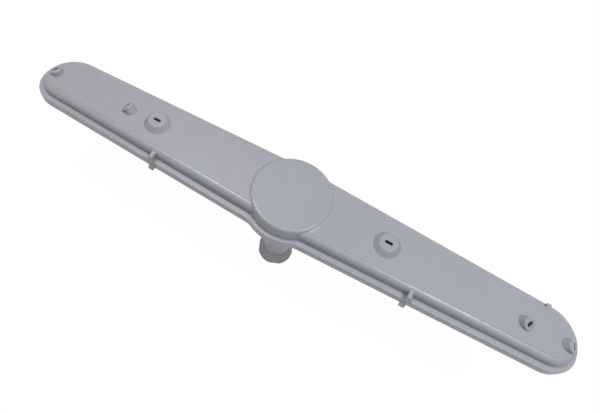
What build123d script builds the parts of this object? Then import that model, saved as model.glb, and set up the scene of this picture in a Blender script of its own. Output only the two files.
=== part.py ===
from build123d import *
from math import acos, atan, atan2, cos, degrees, radians, sin, sqrt, tan
import os

# Overall size of the arm, all in millimetres and degrees
arm_length = 460.0
root_width = 64.0
tip_width = 46.5
tip_skew = 1.6
skin = 2.0

# Flange of the upper half and tray of the lower half
ledge = 4.6
flange_thickness = 2.2
flange_edge_round = 0.8
tray_height = 4.9
tray_edge_round = 0.6
hub_flange_reach = 4.3
hub_flange_blend = 14.0

# Dome that carries the water
dome_height = 8.7
crown_drop = 2.7
dome_draft = 2.0
dome_round = 4.2
panel_step = 0.25

# Round hub cap
cap_ledge = 2.85
cap_height = 10.5
cap_draft = 10.0
cap_round = 2.4
cap_blend = 4.0
blend_sink = 0.06

# Cone nozzles
cone_foot_width = 21.6
cone_top_width = 13.8
cone_height = 4.9
cone_round = 1.1
left_cone_x = -120.2
right_cone_x = 78.7

# Small leaning nozzles and tip nozzles
nozzle_width = 9.8
nozzle_wall = 1.2
nozzle_round = 1.3
left_nozzle_lean = 43.0
right_nozzle_lean = 33.0
left_nozzle_turn = -8.0
right_nozzle_turn = -30.0
nozzle_rise = 3.3
left_nozzle_x = -148.6
left_nozzle_y = -0.5
right_nozzle_from_end = 41.1
right_nozzle_y = -2.8
left_tip_nozzle_lean = 23.0
right_tip_nozzle_lean = 37.0
tip_nozzle_turn = -3.0
tip_nozzle_rise = 2.9
left_tip_nozzle_from_end = 11.5
left_tip_nozzle_y = -0.8
right_tip_nozzle_from_end = 8.5
right_tip_nozzle_y = -1.4

# Slots that the nozzles spray through
cone_slot_length = 6.4
cone_slot_width = 2.5
nozzle_slot_length = 5.4
nozzle_slot_width = 3.3
tip_slot_length = 6.0
tip_slot_width = 2.6
left_tip_slot_turn = -45.0
right_tip_slot_turn = 35.0

# Ribs over the near ledge, lugs on the far wall and barbs under the rim
rib_x = 107.7
rib_thickness = 3.0
rib_height = 6.8
lug_from_end = 27.4
lug_thickness = 3.2
lug_inset = 0.5
lug_height = 2.8
barb_width = 4.2
barb_reach = 2.1
barb_drop = 1.7

# Feed stem and its journal
stem_width = 24.0
stem_bore = 20.0
stem_root_round = 8.0
journal_width = 21.0
journal_bore = 17.0
finger_gap = 2.0
finger_barb = 1.2
finger_barb_height = 1.6

# Bearing ring at the foot of the stem
ring_width = 32.4
ring_flat_width = 31.0
ring_turn = 23.0
ring_rim_height = 3.4
ring_height = 10.0
bearing_length = 3.0
running_clearance = 0.05
end_play = 0.2
shoulder_gap = 0.1
socket_width = 26.0
socket_depth = 4.0
chamber_width = 25.2

# Height of the flange's top face above the foot of the bearing ring
flange_top = 98.0

seam = flange_top - flange_thickness
tray_foot = seam - tray_height
dome_top = flange_top + dome_height
crown_radius = (arm_length**2 / 4 + crown_drop**2) / 2 / crown_drop
cap_top = flange_top + cap_height
rib_top = flange_top + rib_height
arm_end = arm_length / 2
hub_flange_width = root_width + 2 * hub_flange_reach
cap_foot_width = hub_flange_width - 2 * cap_ledge
lug_x = arm_end - lug_from_end
left_nozzle = (left_nozzle_x, left_nozzle_y)
right_nozzle = (arm_end - right_nozzle_from_end, right_nozzle_y)
left_tip_nozzle = (-arm_end + left_tip_nozzle_from_end, left_tip_nozzle_y)
right_tip_nozzle = (arm_end - right_tip_nozzle_from_end, right_tip_nozzle_y)
taper = atan((root_width - tip_width) / arm_length)
far_corner = tip_width / 2 + tip_skew
near_corner = tip_width / 2 - tip_skew
nozzle_bore = nozzle_width - 2 * nozzle_wall
cone_taper = degrees(atan2((cone_foot_width - cone_top_width) / 2, cone_height))
cone_bore = cone_top_width - 2 * skin
finger_foot = ring_height - bearing_length - end_play - finger_barb_height


def half_width(x, inset):
    return root_width / 2 / cos(taper) - abs(x) * tan(taper) - inset / cos(taper)


def arm_outline(inset):
    end = arm_end - inset
    side = [(end, half_width(end, inset)), (0, half_width(0, inset)), (-end, half_width(end, inset))]
    with BuildSketch() as outline:
        Polygon(*side, *[(x, -y) for x, y in reversed(side)], align=None)
        fillet(outline.vertices().group_by(Axis.X)[1], root_width / 2 - inset)
        for row, corner in ((-1, far_corner), (0, near_corner)):
            columns = outline.vertices().group_by(Axis.X)
            ends = [columns[0].sort_by(Axis.Y)[row], columns[-1].sort_by(Axis.Y)[row]]
            fillet(ends, corner - inset)
    return outline.sketch


def crown(x):
    return dome_top - crown_radius + sqrt(crown_radius**2 - x**2)


def crowned_body(inset, foot, drop):
    with BuildPart() as body:
        with BuildSketch(Plane.XY.offset(foot)):
            add(arm_outline(inset))
        extrude(amount=cap_top - foot, taper=dome_draft)
        with BuildSketch(Plane.XZ):
            with BuildLine():
                line = ThreePointArc(*[(x, crown(x) - drop) for x in (-arm_end, 0, arm_end)])
                Polyline(line @ 1, (arm_end, foot), (-arm_end, foot), line @ 0)
            make_face()
        extrude(amount=root_width, both=True, mode=Mode.INTERSECT)
    return body.part


def leaning_plane(place, rise, lean, turn):
    x, y = place
    z = crown(x) + rise
    side = 1 if x > 0 else -1
    across = side * sin(radians(lean))
    normal = (across * cos(radians(turn)), across * sin(radians(turn)), cos(radians(lean)))
    slot_line = (-sin(radians(turn)), cos(radians(turn)), 0)
    return Plane(origin=(x, y, z), x_dir=slot_line, z_dir=normal)


# Dome, rounded along its top
with BuildPart() as dome:
    add(crowned_body(ledge, flange_top, 0))
    fillet(dome.faces().sort_by(Axis.Z)[-1].edges(), dome_round)

# Panel that stands just proud of the dome's top
with BuildPart() as panel:
    add(crowned_body(ledge + dome_round, flange_top, -panel_step))
    chamfer(panel.faces().sort_by(Axis.Z)[-1].edges(), panel_step / 2)

# Outline of the rim, shared by both halves
with BuildSketch() as rim_outline:
    add(arm_outline(0))
    Circle(hub_flange_width / 2)
    hub_corners = rim_outline.vertices().filter_by(lambda v: abs(v.X) < hub_flange_width / 2)
    fillet(hub_corners, hub_flange_blend)

nozzle_planes = [
    leaning_plane(left_nozzle, nozzle_rise, left_nozzle_lean, left_nozzle_turn),
    leaning_plane(right_nozzle, nozzle_rise, right_nozzle_lean, right_nozzle_turn),
]
tip_planes = [
    leaning_plane(left_tip_nozzle, tip_nozzle_rise, left_tip_nozzle_lean, tip_nozzle_turn),
    leaning_plane(right_tip_nozzle, tip_nozzle_rise, right_tip_nozzle_lean, tip_nozzle_turn),
]
small_nozzle_planes = nozzle_planes + tip_planes
cone_places = [(left_cone_x, 0), (right_cone_x, 0)]

# Hub cap
with BuildPart() as cap:
    with BuildSketch(Plane.XY.offset(flange_top)):
        Circle(cap_foot_width / 2)
    extrude(amount=cap_height, taper=cap_draft)
    fillet(cap.faces().sort_by(Axis.Z)[-1].edges(), cap_round)

# Hollow curve from the cap's rim down to the panel, ending where the panel ends
panel_top = crown(cap_foot_width / 2) + panel_step
cap_step = cap_top - panel_top
blend_lean = acos(1 - cap_step / (cap_round + cap_blend))
cap_rim = cap_foot_width / 2 - cap_height * tan(radians(cap_draft))
cap_flat = cap_rim - cap_round * tan(radians(45 - cap_draft / 2))
blend_top = cap_flat + cap_round * sin(blend_lean)
blend_end = blend_top + cap_blend * sin(blend_lean)
with BuildPart() as cap_foot:
    with BuildSketch(Plane.XZ):
        with BuildLine():
            blend_centre = (blend_end - blend_sink, panel_top + cap_blend - blend_sink)
            hollow = CenterArc(blend_centre, cap_blend, 270 - degrees(blend_lean), degrees(blend_lean))
            ring_top, ring_foot = hollow @ 0, dome_top - skin
            Polyline(hollow @ 1, (blend_end, ring_foot), (ring_top.X, ring_foot), ring_top)
        make_face()
    revolve(axis=Axis.Z)
    with BuildSketch(Plane.XY.offset(dome_top - skin)):
        add(arm_outline(ledge + dome_round))
    extrude(amount=skin + cap_step, taper=30, mode=Mode.INTERSECT)

# Body of a small nozzle, its face at the origin
with BuildPart() as nozzle_body:
    with BuildSketch():
        Circle(nozzle_width / 2)
    extrude(amount=-dome_height)
    fillet(nozzle_body.faces().sort_by(Axis.Z)[-1].edges(), nozzle_round)

# Upper half
with BuildPart() as upper_shell:
    with BuildSketch(Plane.XY.offset(seam)):
        add(rim_outline.sketch)
    extrude(amount=flange_thickness)
    fillet(upper_shell.faces().sort_by(Axis.Z)[-1].edges(), flange_edge_round)

    # Dome with its panel, and the hub cap
    add(dome.part)
    add(panel.part)
    add(cap.part)
    add(cap_foot.part)

    # Cone nozzles
    for x, y in cone_places:
        with BuildSketch(Plane.XY.offset(crown(x) + cone_height)):
            with Locations((x, y)):
                Circle(cone_top_width / 2)
        extrude(amount=-(cone_height + skin), taper=-cone_taper)
        cone_top = crown(x) + cone_height
        fillet(upper_shell.edges().filter_by_position(Axis.Z, cone_top, cone_top), cone_round)

    # Small nozzles, carried down into the dome
    with Locations(*small_nozzle_planes):
        add(nozzle_body.part)

    # Ribs over the near ledge
    with BuildSketch(
        Plane.YZ.offset(-rib_x - rib_thickness / 2),
        Plane.YZ.offset(rib_x - rib_thickness / 2),
    ):
        Polygon(
            (-half_width(rib_x, 0), flange_top - flange_edge_round),
            (-half_width(rib_x, 0), rib_top),
            (-half_width(rib_x, ledge + skin), rib_top),
            (-half_width(rib_x, ledge + skin), flange_top - flange_edge_round),
            align=None,
        )
    extrude(amount=rib_thickness)

    # Lug across the far ledge
    with BuildSketch(Plane.YZ.offset(lug_x - lug_thickness / 2)):
        Polygon(
            (half_width(lug_x, lug_inset), flange_top - flange_edge_round),
            (half_width(lug_x, lug_inset), flange_top + lug_height),
            (half_width(lug_x, ledge + skin / 2), flange_top + lug_height),
            (half_width(lug_x, ledge + skin / 2), flange_top - flange_edge_round),
            align=None,
        )
    extrude(amount=lug_thickness)

    # Water channel under the dome and the cap
    add(crowned_body(ledge + skin, seam, skin), mode=Mode.SUBTRACT)
    with BuildSketch(Plane.XY.offset(seam)):
        Circle(cap_foot_width / 2 - skin)
    extrude(amount=cap_top - skin - seam, taper=cap_draft, mode=Mode.SUBTRACT)

    # Hollow of the cone nozzles
    for x, y in cone_places:
        with BuildSketch(Plane.XY.offset(crown(x) + cone_height - skin)):
            with Locations((x, y)):
                Circle(cone_bore / 2)
        extrude(amount=-cone_height, taper=-cone_taper, mode=Mode.SUBTRACT)

    # Bores of the small nozzles
    with BuildSketch(*[plane.offset(-nozzle_wall) for plane in small_nozzle_planes]):
        Circle(nozzle_bore / 2)
    extrude(amount=-dome_height, mode=Mode.SUBTRACT)

    # Spray slots
    with BuildSketch(Plane.XY.offset(dome_top + cone_height)):
        with Locations(*cone_places):
            SlotOverall(cone_slot_length, cone_slot_width)
    extrude(amount=-2 * skin - crown_drop, mode=Mode.SUBTRACT)
    with BuildSketch(*nozzle_planes):
        SlotOverall(nozzle_slot_length, nozzle_slot_width)
    extrude(amount=-2 * nozzle_wall, mode=Mode.SUBTRACT)
    for plane, slot_turn in zip(tip_planes, (left_tip_slot_turn, right_tip_slot_turn)):
        with BuildSketch(plane):
            SlotOverall(tip_slot_length, tip_slot_width, rotation=slot_turn)
        extrude(amount=-2 * nozzle_wall, mode=Mode.SUBTRACT)

# Lower half with the feed stem
with BuildPart() as lower_shell:
    with BuildSketch(Plane.XY.offset(tray_foot)):
        add(rim_outline.sketch)
    extrude(amount=tray_height)
    fillet(lower_shell.faces().sort_by(Axis.Z)[0].edges(), tray_edge_round)

    # Stem, flared where it meets the tray
    with BuildSketch(Plane.XY.offset(tray_foot)):
        Circle(stem_width / 2)
    extrude(amount=-(tray_foot - ring_height - shoulder_gap))
    tray_edges = lower_shell.edges().filter_by_position(Axis.Z, tray_foot, tray_foot)
    fillet(tray_edges.filter_by(GeomType.CIRCLE).sort_by(SortBy.RADIUS)[0], stem_root_round)

    # Journal with its snap barb
    with BuildSketch(Plane.XY.offset(ring_height + shoulder_gap)):
        Circle(journal_width / 2)
    extrude(amount=-(ring_height + shoulder_gap - finger_foot))
    with BuildSketch(Plane.XY.offset(finger_foot)):
        Circle(journal_width / 2 + finger_barb)
    extrude(amount=finger_barb_height)
    chamfer(lower_shell.faces().sort_by(Axis.Z)[0].edges(), finger_barb * 0.6)

    # Barbs under the rim
    with BuildSketch(
        Plane.YZ.offset(-rib_x - barb_width / 2),
        Plane.YZ.offset(rib_x - barb_width / 2),
    ):
        Polygon(
            (-half_width(rib_x, 0) + ledge / 2, seam - tray_height / 4),
            (-half_width(rib_x, 0), seam - tray_height / 4),
            (-half_width(rib_x, 0) - barb_reach, tray_foot),
            (-half_width(rib_x, 0) - barb_reach, tray_foot - barb_drop),
            (-half_width(rib_x, 0) + ledge / 2, tray_foot - barb_drop),
            align=None,
        )
    extrude(amount=barb_width)

    # Water channel in the tray
    with BuildSketch(Plane.XY.offset(tray_foot + skin)):
        add(arm_outline(ledge + skin))
        Circle(cap_foot_width / 2 - skin)
    extrude(amount=tray_height - skin, mode=Mode.SUBTRACT)

    # Bore of the stem and of its journal
    with BuildSketch(Plane.XY.offset(tray_foot + skin)):
        Circle(stem_bore / 2)
    extrude(amount=-(tray_foot + skin - ring_height - shoulder_gap - skin), mode=Mode.SUBTRACT)
    with BuildSketch(Plane.XY.offset(ring_height + shoulder_gap + skin)):
        Circle(journal_bore / 2)
    extrude(amount=-(ring_height + shoulder_gap + skin - finger_foot), mode=Mode.SUBTRACT)

    # Gaps between the snap fingers
    with BuildSketch(Plane.XY.offset(finger_foot)):
        with PolarLocations(0, 2):
            Rectangle(2 * stem_width, finger_gap)
    extrude(amount=ring_height - finger_foot - bearing_length / 3, mode=Mode.SUBTRACT)

# Bearing ring that the arm turns on
with BuildPart() as bearing_ring:
    with BuildSketch():
        Circle(ring_width / 2)
    extrude(amount=ring_rim_height)
    with BuildSketch(Plane.XY.offset(ring_rim_height)):
        Circle(ring_width / 2)
    flare = degrees(atan2((ring_width - stem_width) / 2, ring_height - ring_rim_height))
    extrude(amount=ring_height - ring_rim_height, taper=flare)
    with BuildSketch():
        Rectangle(ring_flat_width, ring_flat_width, rotation=ring_turn)
    extrude(amount=ring_height, mode=Mode.INTERSECT)

    # Bore for the journal, chamber for the barb and socket for the feed pipe
    with BuildSketch():
        Circle(journal_width / 2 + running_clearance)
    extrude(amount=ring_height, mode=Mode.SUBTRACT)
    with BuildSketch():
        Circle(chamber_width / 2)
    extrude(amount=ring_height - bearing_length, mode=Mode.SUBTRACT)
    with BuildSketch():
        Circle(socket_width / 2)
    extrude(amount=socket_depth, mode=Mode.SUBTRACT)

upper_shell.part.label = "upper_shell"
lower_shell.part.label = "lower_shell"
bearing_ring.part.label = "bearing_ring"

os.makedirs("parts", exist_ok=True)
export_step(upper_shell.part, "parts/upper_shell.step")
export_step(lower_shell.part, "parts/lower_shell.step")
export_step(bearing_ring.part, "parts/bearing_ring.step")
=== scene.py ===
"""Looks for a dishwasher spray arm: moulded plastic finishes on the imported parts, stage, lamps, camera."""

import math

import bpy
from mathutils import Matrix, Vector


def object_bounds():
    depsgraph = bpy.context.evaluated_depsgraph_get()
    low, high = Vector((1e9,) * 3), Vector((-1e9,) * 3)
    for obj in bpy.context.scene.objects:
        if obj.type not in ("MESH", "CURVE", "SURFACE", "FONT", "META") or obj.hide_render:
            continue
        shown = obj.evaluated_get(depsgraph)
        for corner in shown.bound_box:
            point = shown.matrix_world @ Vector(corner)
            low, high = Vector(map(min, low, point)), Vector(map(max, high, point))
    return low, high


bl_info = {
    "name": "Spray Arm Finish",
    "version": (1, 0, 0),
    "blender": (4, 5, 0),
    "location": "View3D > Sidebar > Spray Arm",
    "description": "Gives a dishwasher spray arm its moulded plastic finish and a studio stage",
    "category": "Object",
}

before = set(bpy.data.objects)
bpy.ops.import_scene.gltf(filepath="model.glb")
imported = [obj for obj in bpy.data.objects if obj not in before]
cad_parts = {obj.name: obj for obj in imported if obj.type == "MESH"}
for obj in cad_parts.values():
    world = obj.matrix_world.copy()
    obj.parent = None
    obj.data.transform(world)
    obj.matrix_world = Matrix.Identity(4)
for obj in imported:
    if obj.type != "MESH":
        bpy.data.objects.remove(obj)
cad_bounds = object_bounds()

MM = 0.001

# Places on the arm, in millimetres from the axis that it turns about
VIOLET_END = -160.0
BLUE_END = 120.0
WITNESS_LINES = (168.5, 174.5)
EJECTOR_PLACE = (-170.0, -5.0)
EJECTOR_RADIUS = 8.0

# Depth in millimetres of the mould's grain and lines, and how the skin bends light
SKIN_DEPTH = 0.03
POLYPROPYLENE_IOR = 1.49

# White of the background, and the floor's gap in millimetres below the ring
WHITE = (1, 1, 1, 1)
FLOOR_GLOW = 1.02
FLOOR_WHITE_SHARE = 0.97
FLOOR_GAP = 0.2

# Place in metres that all lamps are turned to, and tint of the even light
LAMP_TARGET = (0, 0, 0.1)
SKY_COLOUR = (1.0, 0.98, 0.97, 1)

# Camera, worked out from the photograph
CAMERA_PLACE = (0.03607, -0.16896, 0.40793)
CAMERA_AZIMUTH = 15.525
CAMERA_ELEVATION = 60.759
CAMERA_ROLL = 14.544
CAMERA_LENS = 27.727
CAMERA_SENSOR = 36
CAMERA_SHIFT = (0.03733, -0.01859)
CAMERA_NEAREST = 0.01


# Small helpers

def linear(hex_code):
    """Turns an sRGB hex colour into the linear colour that Blender stores."""
    channels = [int(hex_code[i : i + 2], 16) / 255 for i in (1, 3, 5)]
    return tuple(c / 12.92 if c <= 0.04045 else ((c + 0.055) / 1.055) ** 2.4 for c in channels)


def colour_property(name, hex_code, description):
    return bpy.props.FloatVectorProperty(
        name=name, description=description, subtype="COLOR", size=3, min=0, max=1, default=linear(hex_code)
    )


def length_property(name, default_mm, description):
    return bpy.props.FloatProperty(
        name=name,
        description=description,
        subtype="DISTANCE",
        unit="LENGTH",
        default=default_mm * MM,
        precision=5,
    )


def add_node(tree, kind, inputs=None, **settings):
    """Adds one node, sets its properties, and gives each input a value or a link."""
    node = tree.nodes.new(kind)
    for name, value in settings.items():
        setattr(node, name, value)
    for key, value in (inputs or {}).items():
        if isinstance(value, bpy.types.NodeSocket):
            tree.links.new(value, node.inputs[key])
        else:
            node.inputs[key].default_value = value
    return node


def new_material(name):
    material = bpy.data.materials.new(name)
    material.use_nodes = True
    material.node_tree.nodes.clear()
    return material, material.node_tree


def background_rays(tree):
    """Gives 1 where the background is looked at, directly or in gloss or glass, and 0 for its light."""
    rays = add_node(tree, "ShaderNodeLightPath")
    seen = rays.outputs["Is Camera Ray"]
    for kind in ("Is Glossy Ray", "Is Transmission Ray"):
        either = add_node(tree, "ShaderNodeMath", {0: seen, 1: rays.outputs[kind]}, operation="MAXIMUM")
        seen = either.outputs[0]
    return seen


def dress(node_name, material):
    """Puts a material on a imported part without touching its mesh."""
    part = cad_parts[node_name]
    for slot in part.material_slots:
        slot.link = "OBJECT"
        slot.material = material


# What a user would change

class SprayArmColours(bpy.types.PropertyGroup):
    shell: colour_property("Shell", "#a2a6ac", "Cool grey of the two moulded halves")
    shell_tint: colour_property("Shell tint", "#a5a4ab", "Slightly violet grey that drifts in the shell")
    # Painted sheen on the cap: a paler grey that stands in for its fan of reflections
    fan_sheen_paint: colour_property("Painted fan sheen", "#cfd3da", "Paler grey painted on the cap as its fan of sheen")
    witness: colour_property("Witness lines", "#d4d7de", "Paler grey of the lines that the mould leaves")
    # The ring's grey is painted paler than the shell's, painted light that lifts the shade under the arm
    ring: colour_property("Bearing ring", "#bbbac0", "Grey of the bearing ring, painted paler than the shell to lift its shade")
    ring_cloud: colour_property("Ring cloud", "#c2c1c8", "Paler grey that clouds the bearing ring")
    floor: colour_property("Floor", "#d6d6d8", "Pale studio floor")


class SprayArmFinish(bpy.types.PropertyGroup):
    grain: length_property("Grain", 0.9, "Size of the grain that the eroded mould leaves on the skin")
    drift: length_property("Colour drift", 55.0, "Distance over which the grey drifts between its two tints")
    # Reach of the painted sheen out from the middle of the cap
    fan_sheen_reach: length_property("Painted sheen reach", 29.0, "How far the painted sheen runs out from the middle of the cap")
    top_level: length_property("Top level", 104.5, "Height above which the mould's witness lines show")
    witness_half: length_property("Witness line", 0.22, "Half the width of a witness line")
    ring_cloud_size: length_property("Ring cloud size", 6.0, "Size of the bearing ring's cloudy patches")
    wear: length_property("Wear", 12.0, "Size of the patches in which the satin is drier or wetter")
    shell_roughness: bpy.props.FloatProperty(
        name="Shell roughness", description="Satin of the shell", subtype="FACTOR", min=0, max=1, default=0.3
    )
    ring_roughness: bpy.props.FloatProperty(
        name="Ring roughness", description="Satin of the ring", subtype="FACTOR", min=0, max=1, default=0.48
    )


class SprayArmStage(bpy.types.PropertyGroup):
    floor_size: length_property("Floor size", 4000.0, "Side of the square floor")
    left_power: bpy.props.FloatProperty(
        name="Left lamp", description="Soft box high on the left", unit="POWER", min=0, default=6.1
    )
    right_power: bpy.props.FloatProperty(
        name="Right lamp", description="Soft box high on the right", unit="POWER", min=0, default=5.8
    )
    fill_power: bpy.props.FloatProperty(
        name="Fill lamp", description="Weak soft box in front on the right", unit="POWER", min=0, default=1.1
    )
    sky: bpy.props.FloatProperty(name="Sky", description="Strength of the even light", min=0, default=0.24)


# Finishes

class SPRAYARM_OT_shells(bpy.types.Operator):
    """Dresses the two welded halves of the arm in satin moulded polypropylene"""

    bl_idname = "sprayarm.shells"
    bl_label = "Dress Shells"

    def execute(self, context):
        colours = context.scene.spray_arm_colours
        finish = context.scene.spray_arm_finish
        # Polypropylene, moulded in a lightly eroded steel mould: an even satin skin with soft highlights
        material, tree = new_material("polypropylene_moulded_satin")
        place = add_node(tree, "ShaderNodeTexCoord").outputs["Object"]
        xyz = add_node(tree, "ShaderNodeSeparateXYZ", {0: place})

        # Grey that drifts at random between two tints, and leans more violet to the left and bluer to the
        # right
        drift = add_node(
            tree,
            "ShaderNodeTexNoise",
            {"Vector": place, "Scale": 1 / finish.drift, "Detail": 1.5, "Roughness": 0.45},
        )
        along = add_node(
            tree,
            "ShaderNodeMapRange",
            {
                "Value": xyz.outputs["X"],
                "From Min": BLUE_END * MM,
                "From Max": VIOLET_END * MM,
                "To Min": -0.3,
                "To Max": 0.5,
            },
        )
        violet = add_node(
            tree, "ShaderNodeMath", {0: drift.outputs["Fac"], 1: along.outputs["Result"]}, use_clamp=True
        )
        tint = add_node(
            tree,
            "ShaderNodeMix",
            {"Factor": violet.outputs[0], 6: (*colours.shell, 1), 7: (*colours.shell_tint, 1)},
            data_type="RGBA",
        )

        # Painted sheen: paler streaks that fan out from the middle of the cap, painted in place of the cap's
        # fan of reflections
        angle = add_node(
            tree, "ShaderNodeMath", {0: xyz.outputs["Y"], 1: xyz.outputs["X"]}, operation="ARCTAN2"
        )
        fan = add_node(
            tree,
            "ShaderNodeTexNoise",
            {"W": angle.outputs[0], "Scale": 2.2, "Detail": 2.0},
            noise_dimensions="1D",
        )
        flat_place = add_node(tree, "ShaderNodeCombineXYZ", {"X": xyz.outputs["X"], "Y": xyz.outputs["Y"]})
        radius = add_node(tree, "ShaderNodeVectorMath", {0: flat_place.outputs[0]}, operation="LENGTH")
        reach = add_node(
            tree,
            "ShaderNodeMapRange",
            {
                "Value": radius.outputs["Value"],
                "From Min": finish.fan_sheen_reach,
                "From Max": finish.fan_sheen_reach * 0.2,
                "To Max": 0.07,
            },
            interpolation_type="SMOOTHSTEP",
        )
        streaks = add_node(
            tree, "ShaderNodeMapRange", {"Value": fan.outputs["Fac"], "From Min": 0.38, "From Max": 0.66}
        )
        fan_sheen_amount = add_node(
            tree,
            "ShaderNodeMath",
            {0: streaks.outputs["Result"], 1: reach.outputs["Result"]},
            operation="MULTIPLY",
        )
        skin = add_node(
            tree,
            "ShaderNodeMix",
            {"Factor": fan_sheen_amount.outputs[0], 6: tint.outputs[2], 7: (*colours.fan_sheen_paint, 1)},
            data_type="RGBA",
        )

        # Witness lines of the mould on the top: two across the right end and an ejector ring at the left end
        top = add_node(
            tree, "ShaderNodeMath", {0: xyz.outputs["Z"], 1: finish.top_level}, operation="GREATER_THAN"
        )
        ejector = add_node(
            tree,
            "ShaderNodeVectorMath",
            {0: flat_place.outputs[0], 1: (EJECTOR_PLACE[0] * MM, EJECTOR_PLACE[1] * MM, 0)},
            operation="DISTANCE",
        )
        marked_places = [(xyz.outputs["X"], at) for at in WITNESS_LINES]
        marked_places.append((ejector.outputs["Value"], EJECTOR_RADIUS))
        either = None
        for source, at in marked_places:
            line = add_node(
                tree, "ShaderNodeMath", {0: source, 1: at * MM, 2: finish.witness_half}, operation="COMPARE"
            )
            if either is None:
                either = line
            else:
                either = add_node(
                    tree, "ShaderNodeMath", {0: either.outputs[0], 1: line.outputs[0]}, operation="MAXIMUM"
                )
        marks = add_node(
            tree, "ShaderNodeMath", {0: either.outputs[0], 1: top.outputs[0]}, operation="MULTIPLY"
        )
        pale = add_node(tree, "ShaderNodeMath", {0: marks.outputs[0], 1: 0.08}, operation="MULTIPLY")
        marked = add_node(
            tree,
            "ShaderNodeMix",
            {"Factor": pale.outputs[0], 6: skin.outputs[2], 7: (*colours.witness, 1)},
            data_type="RGBA",
        )

        # Grain of the mould, drawn coarser than a real one so that it shows
        grain = add_node(
            tree,
            "ShaderNodeTexNoise",
            {"Vector": place, "Scale": 1 / finish.grain, "Detail": 3.0, "Roughness": 0.6},
        )
        bump = add_node(
            tree,
            "ShaderNodeBump",
            {"Height": grain.outputs["Fac"], "Strength": 0.2, "Distance": SKIN_DEPTH * MM},
        )
        raised = add_node(
            tree,
            "ShaderNodeBump",
            {
                "Height": marks.outputs[0],
                "Strength": 0.5,
                "Distance": SKIN_DEPTH * MM,
                "Normal": bump.outputs[0],
            },
        )

        # Handling and water leave the satin a little uneven, drier in patches of about a centimetre
        wear = add_node(
            tree, "ShaderNodeTexNoise", {"Vector": place, "Scale": 1 / finish.wear, "Detail": 3.0}
        )
        satin = add_node(
            tree,
            "ShaderNodeMapRange",
            {
                "Value": wear.outputs["Fac"],
                "From Min": 0.3,
                "From Max": 0.7,
                "To Min": finish.shell_roughness - 0.03,
                "To Max": finish.shell_roughness + 0.05,
            },
        )

        shader = add_node(
            tree,
            "ShaderNodeBsdfPrincipled",
            {
                "Base Color": marked.outputs[2],
                "Roughness": satin.outputs[0],
                "IOR": POLYPROPYLENE_IOR,
                "Normal": raised.outputs[0],
            },
        )
        add_node(tree, "ShaderNodeOutputMaterial", {"Surface": shader.outputs[0]})
        for name in ("upper_shell", "lower_shell"):
            dress(name, material)
        return {"FINISHED"}


class SPRAYARM_OT_bearing(bpy.types.Operator):
    """Dresses the bearing ring in a duller polypropylene whose grain is weaker"""

    bl_idname = "sprayarm.bearing"
    bl_label = "Dress Bearing Ring"

    def execute(self, context):
        colours = context.scene.spray_arm_colours
        finish = context.scene.spray_arm_finish
        # Polypropylene, moulded in a polished mould and dull all over: cloudy, a touch waxy
        material, tree = new_material("polypropylene_moulded_ring")
        place = add_node(tree, "ShaderNodeTexCoord").outputs["Object"]
        cloud = add_node(
            tree, "ShaderNodeTexNoise", {"Vector": place, "Scale": 1 / finish.ring_cloud_size, "Detail": 2.0}
        )
        # Painted light: the ring's base grey is paler than the shell's to lift the shade under the arm; the
        # paler patches are cloudy tone of the plastic
        skin = add_node(
            tree,
            "ShaderNodeMix",
            {"Factor": cloud.outputs["Fac"], 6: (*colours.ring, 1), 7: (*colours.ring_cloud, 1)},
            data_type="RGBA",
        )
        grain = add_node(
            tree, "ShaderNodeTexNoise", {"Vector": place, "Scale": 1 / finish.grain, "Detail": 2.0}
        )
        bump = add_node(
            tree,
            "ShaderNodeBump",
            {"Height": grain.outputs["Fac"], "Strength": 0.1, "Distance": SKIN_DEPTH * MM},
        )
        shader = add_node(
            tree,
            "ShaderNodeBsdfPrincipled",
            {
                "Base Color": skin.outputs[2],
                "Roughness": finish.ring_roughness,
                "IOR": POLYPROPYLENE_IOR,
                "Normal": bump.outputs[0],
            },
        )
        add_node(tree, "ShaderNodeOutputMaterial", {"Surface": shader.outputs[0]})
        dress("bearing_ring", material)
        return {"FINISHED"}


# Stage, lamps and camera

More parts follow.
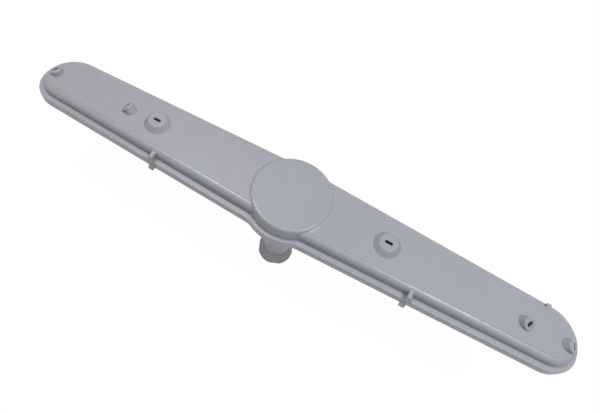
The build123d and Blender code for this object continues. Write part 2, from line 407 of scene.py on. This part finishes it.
class SPRAYARM_OT_stage(bpy.types.Operator):
    """Sets a pale floor, soft studio lamps and the camera"""

    bl_idname = "sprayarm.stage"
    bl_label = "Set Stage"

    def execute(self, context):
        colours = context.scene.spray_arm_colours
        stage = context.scene.spray_arm_stage
        scene = context.scene

        # Floor that looks almost white, to the camera and in reflections, and keeps a trace of shadow
        bpy.ops.object.select_all(action="DESELECT")
        bpy.ops.mesh.primitive_grid_add(
            x_subdivisions=4,
            y_subdivisions=4,
            size=stage.floor_size,
            location=(0, 0, cad_bounds[0][2] - FLOOR_GAP * MM),
        )
        floor = context.active_object
        floor.name = "studio_floor"
        bpy.ops.object.transform_apply(location=True, rotation=True, scale=True)
        material, tree = new_material("painted_floor")
        paint = add_node(tree, "ShaderNodeBsdfDiffuse", {"Color": (*colours.floor, 1)})
        glow = add_node(tree, "ShaderNodeEmission", {"Color": WHITE, "Strength": FLOOR_GLOW})
        share = add_node(
            tree, "ShaderNodeMath", {0: background_rays(tree), 1: FLOOR_WHITE_SHARE}, operation="MULTIPLY"
        )
        mix = add_node(
            tree, "ShaderNodeMixShader", {0: share.outputs[0], 1: paint.outputs[0], 2: glow.outputs[0]}
        )
        add_node(tree, "ShaderNodeOutputMaterial", {"Surface": mix.outputs[0]})
        floor.data.materials.append(material)

        # Even light from all round, white where the camera or a reflection looks past the floor
        world = bpy.data.worlds.new("studio_sky")
        world.use_nodes = True
        sky = world.node_tree
        sky.nodes.clear()
        white = add_node(sky, "ShaderNodeBackground", {"Color": WHITE, "Strength": 1.0})
        light = add_node(sky, "ShaderNodeBackground", {"Color": SKY_COLOUR, "Strength": stage.sky})
        mix = add_node(
            sky, "ShaderNodeMixShader", {0: background_rays(sky), 1: light.outputs[0], 2: white.outputs[0]}
        )
        add_node(sky, "ShaderNodeOutputWorld", {"Surface": mix.outputs[0]})
        scene.world = world

        # Two soft boxes overhead, the right one cooler, and a weak low one that opens the shadows in front
        for name, place, size, power, colour in (
            ("left_box", (-0.40, 0.16, 1.31), (0.26, 0.3), stage.left_power, "#fffcff"),
            ("right_box", (0.52, 0.06, 1.26), (0.26, 0.3), stage.right_power, "#f2faff"),
            ("fill_box", (0.55, -0.55, 0.9), (0.3, 0.3), stage.fill_power, "#eef8ff"),
        ):
            aim = (Vector(LAMP_TARGET) - Vector(place)).to_track_quat("-Z", "Y")
            bpy.ops.object.light_add(type="AREA", location=place, rotation=aim.to_euler())
            lamp = context.active_object
            lamp.name = name
            lamp.data.shape = "RECTANGLE"
            lamp.data.size, lamp.data.size_y = size
            lamp.data.energy = power
            lamp.data.color = linear(colour)

        # Camera at the place worked out from the photograph
        azimuth, elevation, roll = (math.radians(a) for a in (CAMERA_AZIMUTH, CAMERA_ELEVATION, CAMERA_ROLL))
        forward = -Vector(
            (
                math.sin(azimuth) * math.cos(elevation),
                -math.cos(azimuth) * math.cos(elevation),
                math.sin(elevation),
            )
        )
        level = forward.cross(Vector((0, 0, 1))).normalized()
        upright = level.cross(forward)
        right = level * math.cos(roll) + upright * math.sin(roll)
        up = upright * math.cos(roll) - level * math.sin(roll)
        turn = Matrix((right, up, -forward)).transposed().to_euler()
        bpy.ops.object.camera_add(location=CAMERA_PLACE, rotation=turn)
        camera = context.active_object
        camera.name = "photo_camera"
        camera.data.sensor_fit = "HORIZONTAL"
        camera.data.sensor_width = CAMERA_SENSOR
        camera.data.lens = CAMERA_LENS
        camera.data.shift_x, camera.data.shift_y = CAMERA_SHIFT
        camera.data.clip_start = CAMERA_NEAREST
        scene.camera = camera
        scene.view_settings.view_transform = "Standard"
        return {"FINISHED"}


class SPRAYARM_PT_panel(bpy.types.Panel):
    """Spray arm finish and stage"""

    bl_idname = "SPRAYARM_PT_panel"
    bl_label = "Spray Arm"
    bl_space_type = "VIEW_3D"
    bl_region_type = "UI"
    bl_category = "Spray Arm"

    def draw(self, context):
        layout = self.layout
        for title, group in (
            ("Colours", context.scene.spray_arm_colours),
            ("Finish", context.scene.spray_arm_finish),
            ("Stage", context.scene.spray_arm_stage),
        ):
            box = layout.box()
            box.label(text=title)
            for name in group.__annotations__:
                box.prop(group, name)
        for operator in (SPRAYARM_OT_shells, SPRAYARM_OT_bearing, SPRAYARM_OT_stage):
            layout.operator(operator.bl_idname)


CLASSES = (
    SprayArmColours,
    SprayArmFinish,
    SprayArmStage,
    SPRAYARM_OT_shells,
    SPRAYARM_OT_bearing,
    SPRAYARM_OT_stage,
    SPRAYARM_PT_panel,
)


def register():
    for cls in CLASSES:
        bpy.utils.register_class(cls)
    bpy.types.Scene.spray_arm_colours = bpy.props.PointerProperty(type=SprayArmColours)
    bpy.types.Scene.spray_arm_finish = bpy.props.PointerProperty(type=SprayArmFinish)
    bpy.types.Scene.spray_arm_stage = bpy.props.PointerProperty(type=SprayArmStage)


def unregister():
    del bpy.types.Scene.spray_arm_stage
    del bpy.types.Scene.spray_arm_finish
    del bpy.types.Scene.spray_arm_colours
    for cls in reversed(CLASSES):
        bpy.utils.unregister_class(cls)


def main():
    register()
    bpy.ops.sprayarm.shells()
    bpy.ops.sprayarm.bearing()
    bpy.ops.sprayarm.stage()


if __name__ == "__main__":
    main()
